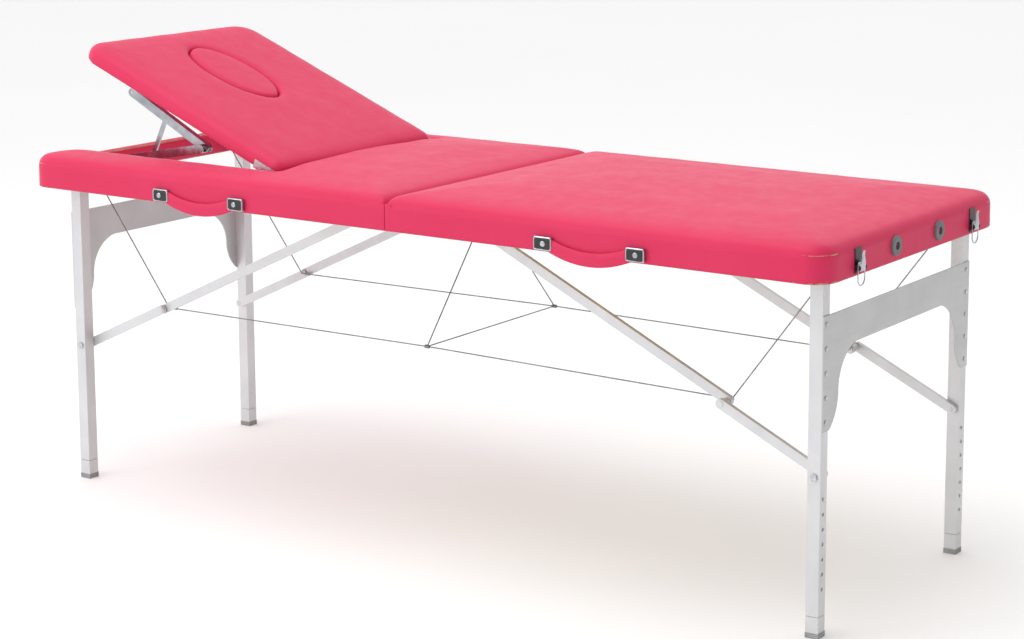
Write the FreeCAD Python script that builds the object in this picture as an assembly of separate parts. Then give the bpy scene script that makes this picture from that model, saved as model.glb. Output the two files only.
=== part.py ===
"""Portable massage table: a suitcase-folding couch on aluminium legs held by tension cables.

Frame: millimetres, +Z up, +X towards the foot end, the carrying handles on the -Y side.
The origin is on the floor, under the middle of the table.
"""
import FreeCAD
import Part
import math
import os
from FreeCAD import Vector

os.makedirs("parts", exist_ok=True)

# ---- driving dimensions -------------------------------------------------
table_length = 1860.0
table_width = 700.0
underside_z = 640.0          # bottom of the wooden rim
rim_height = 50.0            # wooden rails under the deck
rail_thickness = 19.0
board_thickness = 6.0        # plywood deck
pad_top_z = 728.0
skin = 1.5                   # upholstery with its lining
edge_radius = 28.0           # rolled top edge of the pads
corner_radius = 45.0         # pad corners seen from above
centre_gap = 0.5             # each half stops this far from the middle

notch_hinge_x = -335.0       # backrest opening in the head half
notch_half_width = 260.0
end_rail_thickness = 24.0
notch_inner_y = 206.0
notch_outer_y = 297.0
notch_roof_z = 681.5

backrest_pivot_x = -345.0
backrest_pivot_z = 700.0
backrest_end_x = -918.0
backrest_half_width = 254.0
backrest_bottom_z = 692.0
backrest_rest_angle = 22.0   # degrees above flat
face_hole_x = -711.0
face_hole_length = 240.0
face_hole_width = 130.0

leg_x = 885.0
leg_hinge_z = 656.0
foot_leg_outer_y = 293.2     # the head frame nests inside the foot frame as the case shuts
head_leg_outer_y = 266.8
tube = 25.0                  # square leg tube
tube_wall = 1.5
tube_foot_z = 40.0           # where the outer tube stops
foot_sole = 6.0
button_z = 250.0
hole_pitch = 27.0
hole_count = 7               # the button's hole and six below it
hole_radius = 3.6
strut_bolt_z = 290.0

strut_pivot_x = 75.0
strut_pivot_z = 671.0
upper_strut_length = 669.3
strut_height = 18.0
strut_thickness = 9.5
lower_strut_inset = 31.0     # from a leg's outer face to the middle plane of its lower brace
foot_upper_inset = 57.7      # and to its upper brace, clear of the other frame's legs
head_upper_inset = 42.0
knuckle_washer = 4.0
cable_stand_off = 12.3       # from the upper brace's middle plane in to the cable

panel_thickness = 2.0
panel_top_z = 575.0
panel_bottom_z = 510.0
panel_toe_z = 371.0
rivet_pitch = 43.3
rivet_count = 5

lifter_base = (-835.0, 681.0)          # pivots of the backrest lifter, x and z
lifter_top_closed = (-800.0, 655.0)
lifter_lower_length = 254.4
lifter_upper_length = 222.8
lifter_lower_y = 205.0
lifter_upper_y = 190.0
lifter_arm_height = 18.0

cable_radius = 1.25
cable_node_y = 218.0
cable_mid_z = 392.0

handle_centre_x = 461.0
handle_span = 196.0
socket_y = 87.0
socket_z = 669.0
socket_bore_radius = 7.5
latch_y = 231.0

half_length = table_length / 2
half_width = table_width / 2
rail_top_z = underside_z + rim_height
board_top_z = rail_top_z + board_thickness
fold_axis_z = underside_z - 0.25
pin_clearance = 0.3


# ---- small helpers --------------------------------------------------------
def box(x0, x1, y0, y1, z0, z1):
    """A block between two corners, in any order."""
    low = Vector(min(x0, x1), min(y0, y1), min(z0, z1))
    return Part.makeBox(abs(x1 - x0), abs(y1 - y0), abs(z1 - z0), low)


def pin_y(x, z, y0, y1, radius):
    """A round bar along Y."""
    return Part.makeCylinder(radius, abs(y1 - y0), Vector(x, min(y0, y1), z), Vector(0, 1, 0))


def pin_x(y, z, x0, x1, radius):
    """A round bar along X."""
    return Part.makeCylinder(radius, abs(x1 - x0), Vector(min(x0, x1), y, z), Vector(1, 0, 0))


def join(shapes):
    """One solid from touching or overlapping pieces."""
    whole = shapes[0].fuse(shapes[1:]) if len(shapes) > 1 else shapes[0]
    return whole.removeSplitter()


def mirror_x(shape):
    return shape.mirror(Vector(0, 0, 0), Vector(1, 0, 0))


def mirror_y(shape):
    return shape.mirror(Vector(0, 0, 0), Vector(0, 1, 0))


def turned(shape, x, z, degrees):
    """The shape turned about a Y axis through (x, z)."""
    copy = shape.copy()
    copy.rotate(Vector(x, 0, z), Vector(0, 1, 0), degrees)
    return copy


def both_sides(shape):
    """The piece at -Y as given, and its twin at +Y."""
    return [shape, mirror_y(shape)]


def save(name, shapes):
    """Write one node, as one solid or as a group of separate ones."""
    solids = []
    for shape in shapes:
        solids.extend(shape.Solids)
    for solid in solids:
        if not solid.isValid():
            raise ValueError(name + " has a broken solid")
    whole = solids[0] if len(solids) == 1 else Part.makeCompound(solids)
    whole.exportStep("parts/" + name + ".step")


def bar_between(start, end, y0, y1, height, overhang=0.0):
    """A flat bar with round ends from one (x, z) pivot to another."""
    (xa, za), (xb, zb) = start, end
    length = math.hypot(xb - xa, zb - za)
    angle = math.degrees(math.atan2(zb - za, xb - xa))
    radius = height / 2
    body = box(xa - overhang, xa + length + overhang, y0, y1, za - radius, za + radius)
    round_a = pin_y(xa - overhang, za, y0, y1, radius)
    round_b = pin_y(xa + length + overhang, za, y0, y1, radius)
    return turned(join([body, round_a, round_b]), xa, za, -angle)


def rounded_slab(x0, x1, y_half, z0, z1, plan_radii, top_radius):
    """A pad blank: plan corners rounded by side (x0 side, x1 side), top edge rolled over."""
    blank = box(x0, x1, -y_half, y_half, z0, z1)
    for x, radius in ((x0, plan_radii[0]), (x1, plan_radii[1])):
        if radius > 0:
            upright = []
            for edge in blank.Edges:
                a, b = edge.Vertexes[0].Point, edge.Vertexes[-1].Point
                if abs(a.x - x) < 0.01 and abs(b.x - x) < 0.01 and abs(a.z - b.z) > 1:
                    upright.append(edge)
            blank = blank.makeFillet(radius, upright)
    return roll_top(blank, z1, top_radius)


def roll_top(blank, z_top, radius):
    """Round every edge of the top face; a radius of nought leaves it square."""
    if radius == 0:
        return blank
    rim = []
    for edge in blank.Edges:
        if all(abs(v.Point.z - z_top) < 0.01 for v in edge.Vertexes):
            rim.append(edge)
    return blank.makeFillet(radius, rim)


# ---- the two cases: rails, decks, foam and upholstery ---------------------
def rails(x_low, x_high, cross_x):
    """Side rails and cross rails of one half; cross_x gives each cross rail's low x, high x, top."""
    outer = half_width - skin
    inner = outer - rail_thickness
    parts = both_sides(box(x_low, x_high, -outer, -inner, underside_z, rail_top_z))
    for low, high, top in cross_x:
        parts.append(box(low, high, -inner, inner, underside_z, top))
    return parts


def head_blank(inset, z0, z1, top_radius):
    """U-shaped head pad round the backrest opening, drawn in by inset from its outside."""
    x0 = -half_length + inset
    x1 = -centre_gap - inset
    y = half_width - inset
    yn = notch_half_width + inset
    xn = notch_hinge_x + inset
    outer = box(x0, x1, -y, y, z0, z1).cut(box(x0 - 1, xn, -yn, yn, z0 - 1, z1 + 1))
    outer_corners = []
    for edge in outer.Edges:
        a, b = edge.Vertexes[0].Point, edge.Vertexes[-1].Point
        if abs(a.z - b.z) < 1:
            continue
        if abs(a.x - x0) < 0.01 and abs(abs(a.y) - y) < 0.01:
            outer_corners.append(edge)
    outer = outer.makeFillet(corner_radius - inset, outer_corners)
    return roll_top(outer, z1, top_radius)


# Head half.
rail_out = half_length - skin
head_rails = rails(-rail_out, -centre_gap - skin, [
    (-rail_out, -half_length + end_rail_thickness - skin, rail_top_z - 2 * skin),
    (notch_hinge_x + skin, notch_hinge_x + skin + rail_thickness, rail_top_z),
    (-centre_gap - skin - rail_thickness, -centre_gap - skin, rail_top_z),
])
head_board = head_blank(skin, rail_top_z, board_top_z, 0)
head_foam = head_blank(skin, board_top_z, pad_top_z - skin, edge_radius - skin)
head_skin_out = head_blank(0, underside_z, pad_top_z, edge_radius)
head_core = head_blank(skin, underside_z, pad_top_z - skin, edge_radius - skin)
# Below the deck only the outer walls of the case are covered.
head_outline = rounded_slab(-half_length + skin, -centre_gap - skin, half_width - skin,
                            underside_z - 1, rail_top_z, (corner_radius - skin, 0), 0)
head_skin = head_skin_out.cut([head_core, head_outline])
end_wrap = box(-half_length, -half_length + end_rail_thickness, -notch_half_width, notch_half_width,
               underside_z, rail_top_z - skin)
end_core = box(-half_length + skin, -half_length + end_rail_thickness - skin,
               -notch_half_width - 1, notch_half_width + 1, underside_z - 1, rail_top_z - 2 * skin)
end_wrap = end_wrap.cut(end_core)

head_rails = [rail.common(head_outline) for rail in head_rails]
# The folded legs and braces lie through notches in the rail at the backrest hinge.
leg_notches = []
for side in (-1, 1):
    leg_notches.append(box(notch_hinge_x, notch_hinge_x + rail_thickness + 3,
                           side * notch_inner_y, side * notch_outer_y, underside_z - 1, notch_roof_z))
head_rails = [rail.cut(leg_notches) for rail in head_rails]
save("head_deck_board", [head_board])
save("head_foam", [head_foam])

# Foot half.
foot_rails = rails(centre_gap + skin, rail_out, [
    (centre_gap + skin, centre_gap + skin + rail_thickness, rail_top_z),
    (rail_out - rail_thickness, rail_out, rail_top_z),
])
x_in, x_out = centre_gap, half_length


def foot_blank(inset, z0, z1, top_radius):
    return rounded_slab(x_in + inset, x_out - inset, half_width - inset, z0, z1,
                        (0, corner_radius - inset), top_radius)


foot_outline = foot_blank(skin, underside_z, rail_top_z, 0)
foot_rails = [rail.common(foot_outline) for rail in foot_rails]
foot_board = foot_blank(skin, rail_top_z, board_top_z, 0)
foot_foam = foot_blank(skin, board_top_z, pad_top_z - skin, edge_radius - skin)
foot_skin = foot_blank(0, underside_z, pad_top_z, edge_radius)
foot_skin = foot_skin.cut(foot_blank(skin, underside_z - 1, pad_top_z - skin, edge_radius - skin))

# Sockets for the headrest stalks go through the end rail.
socket_holes = []
sockets = []
for side in (-1, 1):
    y = side * socket_y
    socket_holes.append(pin_x(y, socket_z, half_length - 30, half_length + 1, 11.0))
    flange = pin_x(y, socket_z, half_length, half_length + 5, 18.0)
    liner = pin_x(y, socket_z, half_length - 50, half_length, 11.0)
    ferrule = join([flange, liner])
    ferrule = ferrule.cut(pin_x(y, socket_z, half_length - 51, half_length + 6, socket_bore_radius))
    edge = [e for e in ferrule.Edges if abs(e.BoundBox.XMin - half_length - 5) < 0.01
            and abs(e.BoundBox.XMax - half_length - 5) < 0.01 and e.BoundBox.YLength > 30]
    sockets.append(ferrule.makeFillet(2.0, edge))
foot_rails = [rail.cut(socket_holes) for rail in foot_rails]
foot_skin = foot_skin.cut(socket_holes)
save("foot_deck_board", [foot_board])
save("foot_foam", [foot_foam])
save("headrest_sockets", sockets)


# ---- backrest, drawn flat and then raised ----------------------------------
def raised(shape):
    return turned(shape, backrest_pivot_x, backrest_pivot_z, backrest_rest_angle)


def oval(length, width, z0, z1):
    """The face hole's oval prism."""
    ellipse = Part.Ellipse(Vector(face_hole_x, 0, z0), length / 2, width / 2)
    return Part.Face(Part.Wire(ellipse.toShape())).extrude(Vector(0, 0, z1 - z0))


def backrest_blank(inset, z0, z1, top_radius):
    return rounded_slab(backrest_end_x + inset, backrest_pivot_x - inset, backrest_half_width - inset,
                        z0, z1, (corner_radius + 10 - inset, 0), top_radius)


hole_through = oval(face_hole_length, face_hole_width, backrest_bottom_z - 1, pad_top_z + 1)
hole_lined = oval(face_hole_length + 2 * skin, face_hole_width + 2 * skin,
                  backrest_bottom_z - 1, pad_top_z + 1)
backrest_board_top = backrest_bottom_z + board_thickness
backrest_board = backrest_blank(skin, backrest_bottom_z, backrest_board_top, 0).cut(hole_lined)
backrest_foam = backrest_blank(skin, backrest_board_top, pad_top_z - skin, edge_radius - skin)
backrest_foam = backrest_foam.cut(hole_lined)
backrest_skin = backrest_blank(0, backrest_bottom_z, pad_top_z, edge_radius)
backrest_core = backrest_blank(skin, backrest_bottom_z - 1, pad_top_z - skin, edge_radius - skin)
backrest_skin = backrest_skin.cut(backrest_core).cut(hole_through)
hole_tube = oval(face_hole_length + 2 * skin, face_hole_width + 2 * skin,
                 backrest_bottom_z, pad_top_z - skin).cut(hole_through)
backrest_skin = join([backrest_skin, hole_tube])
save("backrest_board", [raised(backrest_board)])
save("backrest_foam", [raised(backrest_foam)])
save("backrest_cover", [raised(backrest_skin)])
plug = oval(face_hole_length - 1.2, face_hole_width - 1.2, backrest_bottom_z + 2, pad_top_z)
plug_rim = [e for e in plug.Edges if abs(e.BoundBox.ZMin - pad_top_z) < 0.01]
save("face_plug", [raised(plug.makeFillet(7.0, plug_rim))])

# Pivot plates stand in the gap between the backrest and the head pad.
fixed_y = notch_half_width - 0.6
moving_y = backrest_half_width + 0.4
rail_face_x = notch_hinge_x + skin
fixed_plates = []
moving_plates = []
for side in (-1, 1):
    ear = join([
        box(backrest_pivot_x - 9.5, rail_face_x, side * (fixed_y - 2), side * fixed_y,
            notch_roof_z, rail_top_z - 1),
        box(backrest_pivot_x - 9.5, backrest_pivot_x + 9.5, side * (fixed_y - 2), side * fixed_y,
            notch_roof_z, backrest_pivot_z),
        pin_y(backrest_pivot_x, backrest_pivot_z, side * (fixed_y - 2), side * fixed_y, 9.5),
    ])
    flange = box(rail_face_x - 2, rail_face_x, side * (notch_inner_y - 46), side * fixed_y,
                 notch_roof_z, rail_top_z - 1)
    tab = box(rail_face_x - 2, rail_face_x, side * (notch_inner_y - 46), side * (notch_inner_y - 2),
              underside_z + 8, rail_top_z - 1)
    fixed_plates.append(join([ear, flange, tab]))
    arm = join([
        box(backrest_pivot_x - 60, backrest_pivot_x, side * moving_y, side * (moving_y + 2),
            backrest_bottom_z - 2, backrest_pivot_z + 8),
        pin_y(backrest_pivot_x, backrest_pivot_z, side * moving_y, side * (moving_y + 2), 9),
    ])
    shelf = box(backrest_pivot_x - 60, backrest_pivot_x - 6, side * (moving_y - 34), side * (moving_y + 2),
                backrest_bottom_z - 2, backrest_bottom_z)
    plate = join([arm, shelf])
    plate = plate.cut(pin_y(backrest_pivot_x, backrest_pivot_z, side * (moving_y - 1),
                            side * (moving_y + 3), 4 + pin_clearance))
    moving_plates.append(plate)
save("backrest_fixed_plates", fixed_plates)
backrest_pins = []
for side in (-1, 1):
    backrest_pins.append(pin_y(backrest_pivot_x, backrest_pivot_z, side * (moving_y + 0.05),
                               side * (fixed_y - 2), 4.0))

# ---- backrest lifter: two folding arms and a ratchet link each side --------
base_x, base_z = lifter_base
top_x, top_z = lifter_top_closed
angle = math.radians(backrest_rest_angle)
rel_x = top_x - backrest_pivot_x
rel_z = top_z - backrest_pivot_z
lift_x = backrest_pivot_x + rel_x * math.cos(angle) + rel_z * math.sin(angle)
lift_z = backrest_pivot_z - rel_x * math.sin(angle) + rel_z * math.cos(angle)
span = math.hypot(lift_x - base_x, lift_z - base_z)
along = (lifter_lower_length ** 2 - lifter_upper_length ** 2 + span ** 2) / (2 * span)
across = math.sqrt(lifter_lower_length ** 2 - along ** 2)
unit_x = (lift_x - base_x) / span
unit_z = (lift_z - base_z) / span
elbow_x = base_x + along * unit_x + across * unit_z
elbow_z = base_z + along * unit_z - across * unit_x


def channel(start, end, y_mid, width, height, wall, open_up):
    """A folded steel channel between two pivots, open along one edge."""
    solid = bar_between(start, end, y_mid - width / 2, y_mid + width / 2, height)
    length = math.hypot(end[0] - start[0], end[1] - start[1])
    tilt = math.degrees(math.atan2(end[1] - start[1], end[0] - start[0]))
    z_low = start[1] - height / 2 + (wall if open_up else -1)
    z_high = start[1] + height / 2 + (1 if open_up else -wall)
    hollow = box(start[0] - height, start[0] + length + height,
                 y_mid - width / 2 + wall, y_mid + width / 2 - wall, z_low, z_high)
    return solid.cut(turned(hollow, start[0], start[1], -tilt))


lower_arms = []
upper_arms = []
ratchet_links = []
base_brackets = []
top_brackets = []
link_top = (elbow_x + 0.55 * (lift_x - elbow_x), elbow_z + 0.55 * (lift_z - elbow_z))
link_foot = (base_x + 0.406 * (elbow_x - base_x), base_z + 0.406 * (elbow_z - base_z))
for side in (-1, 1):
    y_low = side * lifter_lower_y
    y_up = side * lifter_upper_y
    arm = channel((base_x, base_z), (elbow_x, elbow_z), y_low, 13.0, lifter_arm_height, 1.6, True)
    base_hole = pin_y(base_x, base_z, y_low - 8, y_low + 8, 3 + pin_clearance)
    hub = pin_y(elbow_x, elbow_z, y_low - 4.9, y_low + 4.9, 4.0)
    lower_arms.append(arm.cut(base_hole))
    lower_arms.append(hub)
    arm = channel((lift_x, lift_z), (elbow_x, elbow_z), y_up, 13.0, lifter_arm_height, 1.6, False)
    top_hole = pin_y(lift_x, lift_z, y_up - 8, y_up + 8, 3 + pin_clearance)
    link_hole = pin_y(link_top[0], link_top[1], y_up - 8, y_up + 8, 2.5 + pin_clearance)
    upper_arms.append(arm.cut([top_hole, link_hole]))
    upper_arms.append(pin_y(elbow_x, elbow_z, y_up - 4.9, y_up + 4.9, 4.0))
    link = bar_between(link_top, link_foot, y_up - 2.5, y_up + 2.5, 9.0)
    stud = pin_y(link_top[0], link_top[1], y_up - 6.5, y_up + 6.5, 2.5)
    ratchet_links.append(join([link, stud]))
    # The base bracket hangs from the underside of the head deck.
    inner = side * (lifter_lower_y + 6.8)
    outer = side * (lifter_lower_y + 9.8)
    ear = join([
        box(base_x - 9, base_x + 9, inner, outer, base_z, rail_top_z),
        pin_y(base_x, base_z, inner, outer, 9),
    ])
    strip = box(base_x - 24, base_x + 24, inner, side * (notch_half_width + 45),
                rail_top_z - 3, rail_top_z)
    stub = pin_y(base_x, base_z, side * (lifter_lower_y - 6.5), outer, 3.0)
    base_brackets.append(join([ear, strip, stub]))
    # The top bracket is screwed under the backrest board.
    inner = side * (lifter_upper_y - 6.8)
    outer = side * (lifter_upper_y - 9.8)
    ear = join([
        box(top_x - 10, top_x + 10, outer, inner, top_z, backrest_bottom_z),
        pin_y(top_x, top_z, outer, inner, 10),
    ])
    pad = box(top_x - 24, top_x + 24, side * (lifter_upper_y - 36), inner,
              backrest_bottom_z - 3, backrest_bottom_z)
    stub = pin_y(top_x, top_z, outer, side * (lifter_upper_y + 6.5), 3.0)
    top_brackets.append(join([ear, pad, stub]))
save("lifter_base_brackets", base_brackets)
save("backrest_underside_fittings", [raised(p) for p in moving_plates + top_brackets])
save("lifter_lower_arms", lower_arms)
save("lifter_upper_arms", upper_arms)
save("lifter_ratchet_links", ratchet_links)


# ---- legs, braces and their brackets: each end's set drawn on the foot side --------
leg_back_x = leg_x - tube / 2
leg_face_x = leg_x + tube / 2
rivet_x = leg_face_x + panel_thickness
rivet_zs = [panel_top_z - 15 - step * rivet_pitch for step in range(rivet_count)]
slide_gap = 0.5
button_radius = hole_radius - 0.4
sole_overhang = 0.5
brace_angle = math.atan2(strut_pivot_z - strut_bolt_z, leg_x - strut_pivot_x)
knuckle_x = strut_pivot_x + upper_strut_length * math.cos(brace_angle)
knuckle_z = strut_pivot_z - upper_strut_length * math.sin(brace_angle)
half_strut = strut_thickness / 2


def leg_tube(side, outer_y):
    """One square leg with its pivot, bolt, height and rivet holes."""
    inner_y = outer_y - tube
    middle_y = side * (outer_y - tube / 2)
    shell = box(leg_back_x, leg_face_x, side * inner_y, side * outer_y,
                tube_foot_z, leg_hinge_z + tube / 2)
    bore = box(leg_back_x + tube_wall, leg_face_x - tube_wall, side * (inner_y + tube_wall),
               side * (outer_y - tube_wall), tube_foot_z - 1, leg_hinge_z + tube / 2 + 1)
    holes = [
        pin_y(leg_x, leg_hinge_z, side * (inner_y - 1), side * (outer_y + 1), 4 + pin_clearance),
        pin_y(leg_x, strut_bolt_z, side * (inner_y - 1), side * (outer_y + 1), 4.0),
    ]
    for step in range(hole_count):
        z = button_z - step * hole_pitch
        holes.append(pin_x(middle_y, z, leg_face_x - 3, leg_face_x + 1, hole_radius))
    for z in rivet_zs:
        holes.append(pin_x(middle_y, z, leg_face_x - 3, leg_face_x + 1, 2.4))
    return shell.cut(bore).cut(holes)


def leg_hardware(side, outer_y):
    """The bolt that carries the lower brace, and the rivets of the cross panel."""
    middle_y = side * (outer_y - tube / 2)
    shank = pin_y(leg_x, strut_bolt_z, side * (outer_y - lower_strut_inset - half_strut - 0.3),
                  side * (outer_y + 1), 4.0)
    dome = pin_y(leg_x, strut_bolt_z, side * outer_y, side * (outer_y + 3), 7.0)
    pieces = [join([shank, dome])]
    for z in rivet_zs:
        shank = pin_x(middle_y, z, leg_face_x - tube_wall, rivet_x, 2.4)
        head = pin_x(middle_y, z, rivet_x, rivet_x + 1.5, 4.5)
        pieces.append(join([shank, head]))
    return pieces


def cross_panel(outer_y):
    """Sheet across the two legs, arched underneath and running down each leg to a toe."""
    shift = outer_y - 280.0

    def flat(y, z):
        return Vector(leg_face_x, y, z)

    arch_start = flat(-158.0 - shift, panel_bottom_z)
    arch_mid = flat(-207.0 - shift, 480.0)
    arch_end = flat(-222.0 - shift, 430.0)
    toe_mid = flat(-232.0 - shift, 396.0)
    toe_end = flat(-outer_y + tube + 1, panel_toe_z)
    edges = [
        Part.LineSegment(flat(0, panel_bottom_z), arch_start).toShape(),
        Part.Arc(arch_start, arch_mid, arch_end).toShape(),
        Part.Arc(arch_end, toe_mid, toe_end).toShape(),
        Part.LineSegment(toe_end, flat(-outer_y, panel_toe_z)).toShape(),
        Part.LineSegment(flat(-outer_y, panel_toe_z), flat(-outer_y, panel_top_z)).toShape(),
        Part.LineSegment(flat(-outer_y, panel_top_z), flat(0, panel_top_z)).toShape(),
        Part.LineSegment(flat(0, panel_top_z), flat(0, panel_bottom_z)).toShape(),
    ]
    half = Part.Face(Part.Wire(edges)).extrude(Vector(panel_thickness, 0, 0))
    holes = []
    for side in (-1, 1):
        for z in rivet_zs:
            holes.append(pin_x(side * (outer_y - tube / 2), z, leg_face_x - 4, rivet_x + 1, 2.4))
    return join([half, mirror_y(half)]).cut(holes)


def extension(side, outer_y):
    """The telescopic foot: inner tube with its sleeve, rubber shoe, and sprung button."""
    inner_y = outer_y - tube
    middle_y = side * (outer_y - tube / 2)
    gap = tube_wall + slide_gap
    xa, xb = leg_back_x + gap, leg_face_x - gap
    inner = box(xa, xb, side * (inner_y + gap), side * (outer_y - gap), foot_sole, button_z + 24)
    hollow = box(xa + tube_wall, xb - tube_wall, side * (inner_y + gap + tube_wall),
                 side * (outer_y - gap - tube_wall), 22, button_z + 25)
    socket = pin_x(middle_y, button_z, xb - 4, xb + 1, button_radius + 0.35)
    sleeve = box(leg_back_x, leg_face_x, side * inner_y, side * outer_y, foot_sole, tube_foot_z - 1)
    inner = join([inner.cut([hollow, socket]), sleeve])
    shoe = box(leg_back_x - sole_overhang, leg_face_x + sole_overhang, side * (inner_y - sole_overhang),
               side * (outer_y + sole_overhang), 0, foot_sole + 4)
    shoe = shoe.cut(box(leg_back_x, leg_face_x, side * inner_y, side * outer_y,
                        foot_sole, foot_sole + 5))
    button_end = leg_face_x + 2.5
    button = pin_x(middle_y, button_z, xb - tube_wall - 4.5, button_end, button_radius)
    cap = [e for e in button.Edges if abs(e.BoundBox.XMin - button_end) < 0.01]
    collar = pin_x(middle_y, button_z, xb - tube_wall - 6.5, xb - tube_wall - 4.5, 5.5)
    button = join([button.makeFillet(1.6, cap), collar])
    return {"leg_extension": inner, "rubber_foot": shoe, "snap_button": button}


def brace_pair(side, outer_y, upper_inset):
    """The two bars of one brace; the knuckle bolt is split between them."""
    upper_y = side * (outer_y - upper_inset)
    lower_y = side * (outer_y - lower_strut_inset)
    upper = bar_between((strut_pivot_x, strut_pivot_z), (knuckle_x, knuckle_z),
                        upper_y - half_strut, upper_y + half_strut, strut_height)
    upper = upper.cut(pin_y(strut_pivot_x, strut_pivot_z, upper_y - 8, upper_y + 8, 4 + pin_clearance))
    inner_face = upper_y - side * half_strut
    bolt_head = pin_y(knuckle_x, knuckle_z, inner_face, inner_face - side * knuckle_washer, 7.0)
    lower = bar_between((leg_x, strut_bolt_z), (knuckle_x, knuckle_z),
                        lower_y - half_strut, lower_y + half_strut, strut_height)
    lower = lower.cut(pin_y(leg_x, strut_bolt_z, lower_y - 8, lower_y + 8, 4 + pin_clearance))
    outer_face = lower_y + side * half_strut
    nut = pin_y(knuckle_x, knuckle_z, outer_face, outer_face + side * 1.1, 6.5)
    spacer = pin_y(knuckle_x, knuckle_z, upper_y + side * half_strut,
                   lower_y - side * (half_strut + 0.5), 6.5)
    return [upper, bolt_head, spacer], [lower, nut]


def hanger(x, z, y_ears, radius, half_reach, y_saddle):
    """A bracket under the deck: two ears with round ends below a flat saddle."""
    parts = []
    for y_a, y_b in y_ears:
        parts.append(box(x - radius, x + radius, y_a, y_b, z, rail_top_z))
        parts.append(pin_y(x, z, y_a, y_b, radius))
    parts.append(box(x - half_reach, x + half_reach, y_saddle[0], y_saddle[1],
                     rail_top_z - 2.5, rail_top_z))
    return join(parts)


def deck_brackets(side, outer_y, upper_inset):
    """Leg bracket and brace bracket of one side, with the pins through them."""
    inner_y = outer_y - tube
    upper_y = outer_y - upper_inset
    leg_bracket = hanger(
        leg_x, leg_hinge_z,
        [(side * (inner_y - 0.7), side * (inner_y - 3.2)), (side * (outer_y + 0.5), side * (outer_y + 3))],
        13, 20, (side * (inner_y - 3.2), side * (outer_y + 26)))
    leg_pin = pin_y(leg_x, leg_hinge_z, side * (upper_y - cable_stand_off - 4), side * (outer_y + 5), 4.0)
    brace_bracket = hanger(
        strut_pivot_x, strut_pivot_z,
        [(side * (upper_y - half_strut - 0.5), side * (upper_y - half_strut - 3)),
         (side * (upper_y + half_strut + 0.5), side * (upper_y + half_strut + 3))],
        11, 28, (side * (upper_y - 20), side * (upper_y + 20)))
    brace_pin = pin_y(strut_pivot_x, strut_pivot_z, side * (upper_y - 9), side * (upper_y + 9), 4.0)
    return [leg_bracket.cut(leg_pin), brace_bracket.cut(brace_pin)], [leg_pin, brace_pin]


leg_sets = (
    ("foot", foot_leg_outer_y, foot_upper_inset, []),
    ("head", head_leg_outer_y, head_upper_inset, backrest_pins),
)
for end, outer_y, upper_inset, extra_pins in leg_sets:
    place = mirror_x if end == "head" else Part.Shape.copy
    tubes, hardware, uppers, lowers, brackets, pins = [], [], [], [], [], []
    for row, side in (("front", -1), ("rear", 1)):
        tubes.append(leg_tube(side, outer_y))
        hardware.extend(leg_hardware(side, outer_y))
        upper, lower = brace_pair(side, outer_y, upper_inset)
        uppers.extend(upper)
        lowers.extend(lower)
        hangers, hanger_pins = deck_brackets(side, outer_y, upper_inset)
        brackets.extend(hangers)
        pins.extend(hanger_pins)
        for label, shape in extension(side, outer_y).items():
            save(end + "_" + row + "_" + label, [place(shape)])
    save(end + "_leg_tubes", [place(piece) for piece in tubes])
    save(end + "_leg_panel", [place(cross_panel(outer_y))])
    save(end + "_leg_fasteners", [place(piece) for piece in hardware])
    save(end + "_upper_struts", [place(piece) for piece in uppers])
    save(end + "_lower_struts", [place(piece) for piece in lowers])
    save(end + "_hinge_brackets", [place(piece) for piece in brackets])
    save(end + "_pivot_pins", [place(piece) for piece in pins] + extra_pins)

# ---- carrying handles -------------------------------------------------------
strap_thickness = 7.0
strap_half = 13.0
strap_sag = 22.0
strap_z = 655.0
cap_half = 20.0
strap_outer_y = -half_width - strap_thickness


def strap():
    """A padded band that hangs in a shallow curve between its two end caps."""
    y = strap_outer_y
    x0 = handle_centre_x - handle_span / 2
    x1 = handle_centre_x + handle_span / 2
    xa, xb = x0 + cap_half + 5, x1 - cap_half - 5

    def at(x, z):
        return Vector(x, y, z)

    top = strap_z + strap_half
    low = strap_z - strap_half
    outline = [
        Part.LineSegment(at(x0 - 8, top), at(xa, top)).toShape(),
        Part.Arc(at(xa, top), at(handle_centre_x, top - strap_sag), at(xb, top)).toShape(),
        Part.LineSegment(at(xb, top), at(x1 + 8, top)).toShape(),
        Part.LineSegment(at(x1 + 8, top), at(x1 + 8, low)).toShape(),
        Part.LineSegment(at(x1 + 8, low), at(xb, low)).toShape(),
        Part.Arc(at(xb, low), at(handle_centre_x, low - strap_sag), at(xa, low)).toShape(),
        Part.LineSegment(at(xa, low), at(x0 - 8, low)).toShape(),
        Part.LineSegment(at(x0 - 8, low), at(x0 - 8, top)).toShape(),
    ]
    return Part.Face(Part.Wire(outline)).extrude(Vector(0, strap_thickness, 0))


caps = []
screws = []
for x in (handle_centre_x - handle_span / 2, handle_centre_x + handle_span / 2):
    outside = box(x - cap_half, x + cap_half, -half_width, strap_outer_y - 2.2,
                  strap_z - strap_half - 1.7, strap_z + strap_half + 1.7)
    channel_cut = box(x - cap_half - 1, x + cap_half + 1, -half_width + 1, strap_outer_y,
                      strap_z - strap_half - 0.2, strap_z + strap_half + 0.2)
    screw = pin_y(x, strap_z, -half_width, strap_outer_y - 2.2, 2.5)
    screw_head = pin_y(x, strap_z, strap_outer_y - 2.2, strap_outer_y - 3.8, 4.5)
    screws.append(screw)
    caps.append(join([outside.cut(channel_cut), screw, screw_head]))
handle_strap = strap().cut(screws)
save("foot_handle_strap", [handle_strap])
save("head_handle_strap", [mirror_x(handle_strap)])
save("foot_handle_caps", caps)
save("head_handle_caps", [mirror_x(cap) for cap in caps])

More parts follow.
